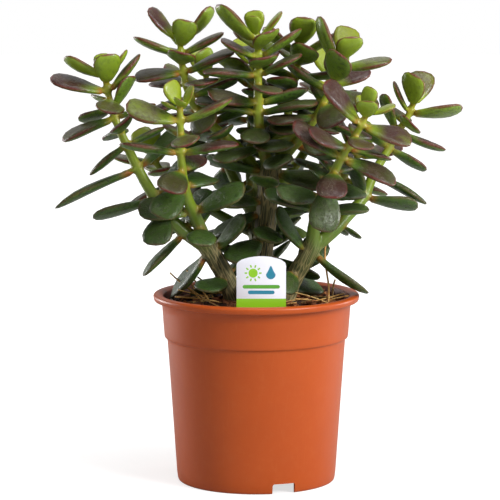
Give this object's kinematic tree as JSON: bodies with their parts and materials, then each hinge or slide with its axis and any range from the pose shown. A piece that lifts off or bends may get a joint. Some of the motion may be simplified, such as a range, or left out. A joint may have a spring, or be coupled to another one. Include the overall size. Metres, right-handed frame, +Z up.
{
  "type": "potted jade plant",
  "caption": "Bushy jade plant with branching stems and plump paired leaves, in a round tapered plastic nursery pot with potting mix and a push-in plant label.",
  "frame": {"origin": "on the pot's axis, at the level of the surface that the pot stands on", "axes": "+Z up along the pot's axis; -Y towards the front, where the label faces; +X to the viewer's right"},
  "size_m": [0.2387, 0.1473, 0.2782],
  "materials": {
    "terracotta_plastic": "satin injection-moulded plastic",
    "potting_mix": "damp crumbly peat and bark",
    "label_plastic": "smooth white plastic sheet",
    "jade_stem": "grooved woody bark below, smooth green skin above",
    "jade_leaf": "waxy succulent leaf"
  },
  "bodies": {
    "root": {"nursery_pot": "terracotta_plastic", "potting_mix": "potting_mix", "plant_label": "label_plastic", "cutting_left": "jade_stem", "cutting_centre": "jade_stem", "cutting_right": "jade_stem", "cutting_back": "jade_stem", "spray_outer_left": "jade_leaf", "spray_front_left": "jade_leaf", "spray_centre": "jade_leaf", "spray_centre_right": "jade_leaf", "spray_right_top": "jade_leaf", "spray_top_left": "jade_leaf", "spray_front_right": "jade_leaf", "spray_outer_right": "jade_leaf", "spray_back_left": "jade_leaf", "spray_back_centre": "jade_leaf", "spray_back_right": "jade_leaf", "spray_low_right": "jade_leaf", "spray_low_left": "jade_leaf"}
  },
  "joints": []
}
